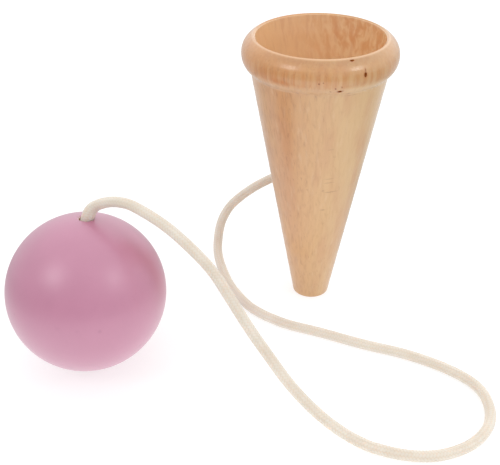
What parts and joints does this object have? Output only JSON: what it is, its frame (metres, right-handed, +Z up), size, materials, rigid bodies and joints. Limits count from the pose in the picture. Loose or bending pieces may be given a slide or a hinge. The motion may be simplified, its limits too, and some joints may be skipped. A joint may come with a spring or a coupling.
{
  "type": "cup and ball toy",
  "caption": "Turned wooden cone cup on a flat tip, with a rounded rim and hollow mouth, tied by a braided cord to a painted wooden ball that is tossed up and caught in it.",
  "frame": {"origin": "centre of the cup's flat foot, on the surface that the toy stands on", "axes": "+Z up along the cup's axis, +X to the right and +Y away from the viewer in the picture"},
  "size_m": [0.1805, 0.1342, 0.1144],
  "materials": {
    "turned_wood": "pale close-grained hardwood, turned, clear satin varnish",
    "lilac_paint": "turned hardwood, smooth lilac satin paint",
    "cotton_cord": "natural round braided cotton"
  },
  "bodies": {
    "cup": {"cup": "turned_wood", "cup_knot": "cotton_cord", "cord": "cotton_cord"},
    "cord_end": {"ball_knot": "cotton_cord"},
    "ball": {"ball": "lilac_paint"}
  },
  "joints": [
    {"name": "ball_catch", "type": "hinge", "parent": "cup", "child": "cord_end", "pos_m": [-0.088, -0.045, 0.12888], "axis": [-0.4553, 0.8903, 0], "range_deg": [0, 268.34], "deforming": ["cord"]},
    {"name": "ball_spin", "type": "hinge", "parent": "cord_end", "child": "ball", "pos_m": [-0.088, -0.045, 0.03], "axis": [0.0661, 0.1418, 0.9877], "continuous": true}
  ]
}
